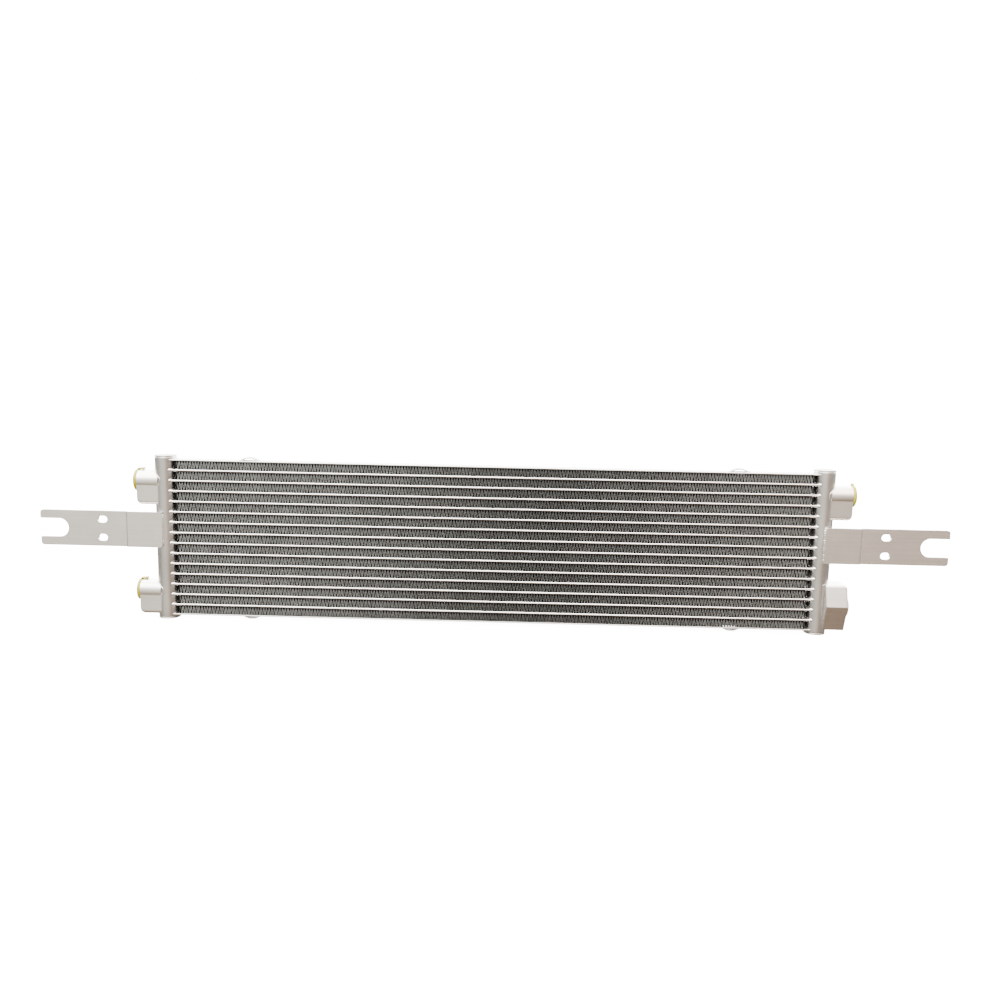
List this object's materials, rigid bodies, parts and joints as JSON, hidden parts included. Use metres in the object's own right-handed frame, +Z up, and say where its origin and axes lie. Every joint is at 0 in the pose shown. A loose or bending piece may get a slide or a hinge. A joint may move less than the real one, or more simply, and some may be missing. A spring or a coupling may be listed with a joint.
{
  "type": "hydraulic oil cooler",
  "caption": "Long low parallel-flow oil cooler: flat tubes and corrugated fins between two round headers, capped side ports, forked mounting straps.",
  "frame": {"origin": "middle of the core, which is also the middle of the whole part's box", "axes": "+X along the tubes towards the header with the wide port block, +Y through the core to the back, +Z up across the tubes"},
  "size_m": [0.8586, 0.0318, 0.158],
  "materials": {
    "tube": "brazed mill finish",
    "fin": "brazed mill finish",
    "side_plate": "brazed mill finish",
    "header": "satin brazed",
    "port_block": "satin machined",
    "bracket": "satin sheet",
    "transit_cap": "soft moulded"
  },
  "bodies": {
    "core": {"header_left": "header", "header_right": "header", "header_cap_upper_left": "header", "header_cap_upper_right": "header", "header_cap_lower_left": "header", "header_cap_lower_right": "header", "baffle_left": "header", "baffle_right": "header", "tube_01": "tube", "tube_02": "tube", "tube_03": "tube", "tube_04": "tube", "tube_05": "tube", "tube_06": "tube", "tube_07": "tube", "tube_08": "tube", "tube_09": "tube", "tube_10": "tube", "tube_11": "tube", "tube_12": "tube", "tube_13": "tube", "tube_14": "tube", "fin_01": "fin", "fin_02": "fin", "fin_03": "fin", "fin_04": "fin", "fin_05": "fin", "fin_06": "fin", "fin_07": "fin", "fin_08": "fin", "fin_09": "fin", "fin_10": "fin", "fin_11": "fin", "fin_12": "fin", "fin_13": "fin", "fin_14": "fin", "fin_15": "fin", "side_plate_top": "side_plate", "side_plate_bottom": "side_plate", "port_block_upper_left": "port_block", "port_block_upper_right": "port_block", "port_block_lower_left": "port_block", "port_block_lower_right": "port_block", "bracket_left": "bracket", "bracket_right": "bracket"},
    "cap_upper_left": {"transit_cap_upper_left": "transit_cap"},
    "cap_upper_right": {"transit_cap_upper_right": "transit_cap"},
    "cap_lower_left": {"transit_cap_lower_left": "transit_cap"},
    "cap_lower_right": {"transit_cap_lower_right": "transit_cap"}
  },
  "joints": [
    {"name": "cap_upper_left_pull", "type": "slide", "parent": "core", "child": "cap_upper_left", "axis": [-1, 0, 0], "range_m": [0, 0.05]},
    {"name": "cap_upper_right_pull", "type": "slide", "parent": "core", "child": "cap_upper_right", "axis": [1, 0, 0], "range_m": [0, 0.05]},
    {"name": "cap_lower_left_pull", "type": "slide", "parent": "core", "child": "cap_lower_left", "axis": [-1, 0, 0], "range_m": [0, 0.05]},
    {"name": "cap_lower_right_pull", "type": "slide", "parent": "core", "child": "cap_lower_right", "axis": [1, 0, 0], "range_m": [0, 0.05]}
  ]
}
